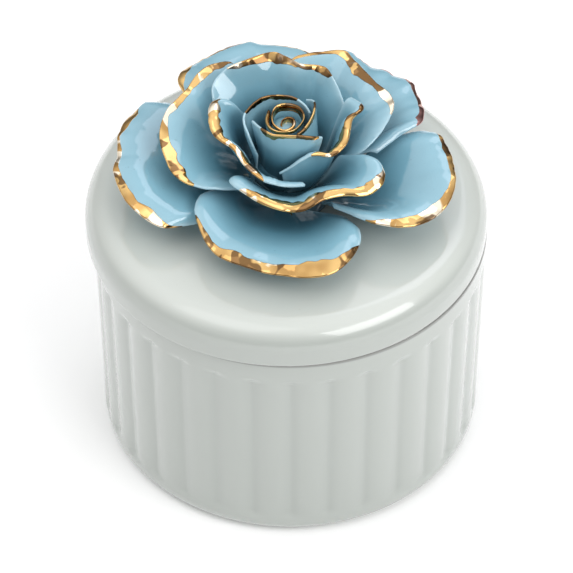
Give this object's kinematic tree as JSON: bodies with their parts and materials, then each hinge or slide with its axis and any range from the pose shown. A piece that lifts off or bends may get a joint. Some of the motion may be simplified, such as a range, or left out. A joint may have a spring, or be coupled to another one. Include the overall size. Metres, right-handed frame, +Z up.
{
  "type": "trinket box",
  "caption": "Round fluted porcelain trinket box with a lift-off lid that carries a hand-formed ceramic rose as its knob.",
  "frame": {"origin": "centre of the pot's flat underside, on the surface it stands on", "axes": "+Z up along the pot's axis, -Y towards the front, +X to the right seen from the front"},
  "size_m": [0.0901, 0.09, 0.0922],
  "materials": {
    "white_glaze": "glossy, cool white glaze over porcelain",
    "blue_glaze": "glossy light-blue glaze, with shiny gold lustre painted along parts of the petals' rims"
  },
  "bodies": {
    "pot": {"pot": "white_glaze"},
    "lid": {"lid": "white_glaze", "rose_base": "blue_glaze", "rose_core": "blue_glaze", "heart_back": "blue_glaze", "heart_right": "blue_glaze", "heart_front": "blue_glaze", "inner_back": "blue_glaze", "inner_left": "blue_glaze", "inner_right": "blue_glaze", "middle_left": "blue_glaze", "middle_right": "blue_glaze", "middle_front": "blue_glaze", "outer_left": "blue_glaze", "outer_front": "blue_glaze", "outer_right": "blue_glaze", "outer_back_right": "blue_glaze", "outer_back_left": "blue_glaze"}
  },
  "joints": [
    {"name": "lid_lift", "type": "slide", "parent": "pot", "child": "lid", "axis": [0, 0, 1], "range_m": [0, 0.08]}
  ]
}
